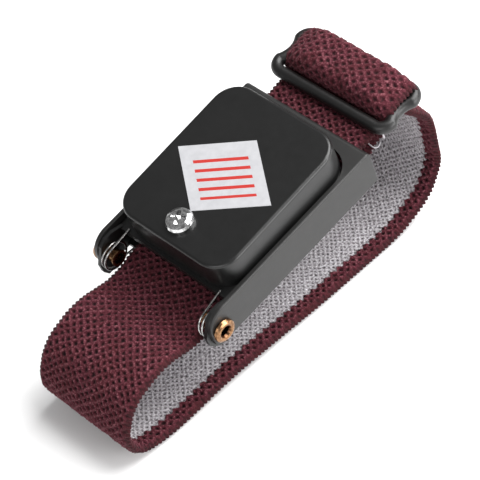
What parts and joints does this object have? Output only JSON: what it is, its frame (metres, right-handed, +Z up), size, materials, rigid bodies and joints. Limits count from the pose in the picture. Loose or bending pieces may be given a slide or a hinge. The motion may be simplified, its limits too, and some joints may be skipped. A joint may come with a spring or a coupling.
{
  "type": "esd wrist strap",
  "caption": "Knitted elastic wrist band closed through a hinged, spring-loaded clamp housing and a two-slot slider, with a discharge screw on the housing's cover.",
  "frame": {"origin": "Centre of the bounding box in X and Y, on the surface that the strap lies on.", "axes": "X runs along the strap's length from the hinged end of the housing to the slider, Y across the band, and Z up from the table."},
  "size_m": [0.0902, 0.0354, 0.0411],
  "materials": {
    "frame_plastic": "satin",
    "lever_plastic": "satin",
    "cover_plastic": "satin",
    "eyelet_brass": "polished",
    "spring_steel": "bright drawn",
    "pin_steel": "ground",
    "skin_steel": "polished",
    "rivet_steel": "satin",
    "jaw_steel": "stamped",
    "screw_chrome": "polished",
    "insert_brass": "turned",
    "terminal_tin": "tinned",
    "resistor_coat": "coated",
    "lead_wire": "tinned",
    "strip_brass": "stamped",
    "label_paper": "printed",
    "slider_black": "glossy",
    "band_knit": "knitted",
    "seam_thread": "twisted thread"
  },
  "bodies": {
    "frame": {"frame_channel": "frame_plastic", "eyelet_near": "eyelet_brass", "eyelet_far": "eyelet_brass", "spring_near": "spring_steel", "spring_far": "spring_steel", "anchor_pin": "pin_steel", "skin_plate": "skin_steel", "plate_rivets": "rivet_steel", "strap_band": "band_knit", "strap_right_turn": "band_knit", "strap_anchor_loop": "band_knit", "strap_upper_run": "band_knit", "strap_lower_run": "band_knit"},
    "lever": {"clamp_plate": "lever_plastic", "clamp_jaw": "jaw_steel", "cover_shell": "cover_plastic", "discharge_screw": "screw_chrome", "threaded_insert": "insert_brass", "lead_terminal": "terminal_tin", "resistor_body": "resistor_coat", "resistor_lead_front": "lead_wire", "resistor_lead_rear": "lead_wire", "contact_strip": "strip_brass", "cover_label": "label_paper"},
    "slider": {"strap_slider": "slider_black", "strap_bridge": "band_knit", "strap_end_fold": "band_knit", "fold_stitches": "seam_thread"}
  },
  "joints": [
    {"name": "clamp_hinge", "type": "hinge", "parent": "frame", "child": "lever", "pos_m": [-0.02055, 0, 0.0218], "axis": [0, -1, 0], "range_deg": [0, 40], "stiffness_Nm_per_rad": 0.02, "springref_deg": -34.38, "deforming": ["spring_near", "spring_far"]},
    {"name": "slider_travel", "type": "slide", "parent": "frame", "child": "slider", "axis": [0.9842, 0, 0.1771], "range_m": [-0.003, 0.008], "deforming": ["strap_upper_run", "strap_lower_run", "strap_right_turn"]}
  ]
}
